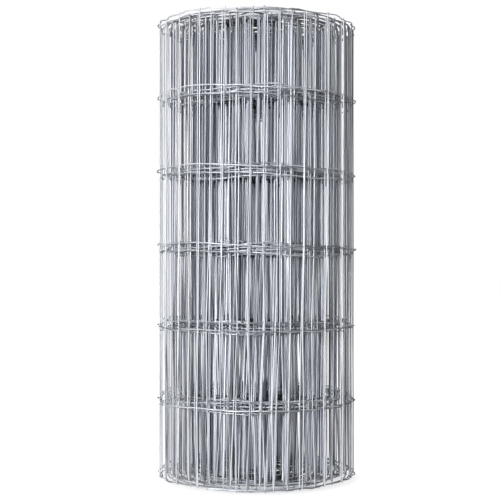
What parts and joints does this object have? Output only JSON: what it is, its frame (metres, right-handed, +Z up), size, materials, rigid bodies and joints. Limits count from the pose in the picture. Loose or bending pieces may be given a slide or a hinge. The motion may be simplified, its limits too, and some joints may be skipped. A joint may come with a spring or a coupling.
{
  "type": "roll of wire fencing",
  "caption": "Upright roll of galvanised welded wire fencing, wound tightly round an open bore, with tall narrow cells between its line wires and stays.",
  "frame": {"origin": "middle of the lower end, on the roll's axis, in the plane that the roll stands on", "axes": "+Z up along the roll's axis; the roll is turned, so X and Y are alike, and -Y faces the viewer"},
  "size_m": [0.4099, 0.41, 0.9055],
  "materials": {
    "galvanised_wire": "galvanised drawn wire, satin, with slight zinc mottling"
  },
  "bodies": {
    "root": {"mesh_roll": "galvanised_wire"}
  },
  "joints": []
}
